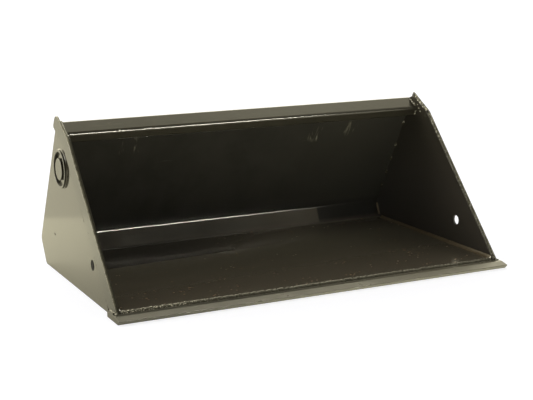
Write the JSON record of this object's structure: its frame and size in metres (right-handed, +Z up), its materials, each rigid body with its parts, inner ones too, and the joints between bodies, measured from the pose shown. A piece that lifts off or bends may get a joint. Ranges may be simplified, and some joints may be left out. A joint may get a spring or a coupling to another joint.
{
  "type": "loader bucket",
  "caption": "Smooth-edged loader bucket: folded shell between side plates, bevelled cutting edge, bent edge bars, a top rail, round side collars and paired hitch ears behind.",
  "frame": {"origin": "on the ground, midway across the bucket and midway between the nose of the cutting edge and the rearmost point of the ears", "axes": "+X towards the right side seen from in front of the open mouth, along the cutting edge; +Y from the mouth towards the hitch; +Z up"},
  "size_m": [1.05, 0.6834, 0.411],
  "materials": {
    "paint_inside": "semi-gloss",
    "paint_worn": "satin",
    "paint_rail": "semi-gloss",
    "paint_side": "semi-gloss",
    "paint_bar": "semi-gloss",
    "paint_collar": "semi-gloss",
    "paint_hitch": "semi-gloss",
    "bush_steel": "machined",
    "painted_weld": "semi-gloss"
  },
  "bodies": {
    "root": {"shell": "paint_inside", "cutting_edge": "paint_worn", "top_rail": "paint_rail", "left_side_plate": "paint_side", "right_side_plate": "paint_side", "left_edge_bar": "paint_bar", "right_edge_bar": "paint_bar", "left_collar": "paint_collar", "right_collar": "paint_collar", "left_plug": "paint_collar", "right_plug": "paint_collar", "left_hitch_pad": "paint_hitch", "right_hitch_pad": "paint_hitch", "left_outer_ear": "paint_hitch", "left_inner_ear": "paint_hitch", "right_inner_ear": "paint_hitch", "right_outer_ear": "paint_hitch", "left_lower_bushes": "bush_steel", "left_upper_bushes": "bush_steel", "right_lower_bushes": "bush_steel", "right_upper_bushes": "bush_steel", "lip_weld": "painted_weld", "edge_rear_weld": "painted_weld", "rail_rear_weld": "painted_weld", "left_floor_weld": "painted_weld", "right_floor_weld": "painted_weld", "left_stitch_welds": "painted_weld", "right_stitch_welds": "painted_weld", "left_rail_weld": "painted_weld", "right_rail_weld": "painted_weld", "left_toe_weld": "painted_weld", "right_toe_weld": "painted_weld", "left_seam_weld": "painted_weld", "right_seam_weld": "painted_weld", "left_outer_weld": "painted_weld", "right_outer_weld": "painted_weld", "left_lap_weld": "painted_weld", "right_lap_weld": "painted_weld", "left_collar_weld": "painted_weld", "right_collar_weld": "painted_weld", "left_pad_weld": "painted_weld", "right_pad_weld": "painted_weld", "left_ear_weld": "painted_weld", "right_ear_weld": "painted_weld"}
  },
  "joints": []
}
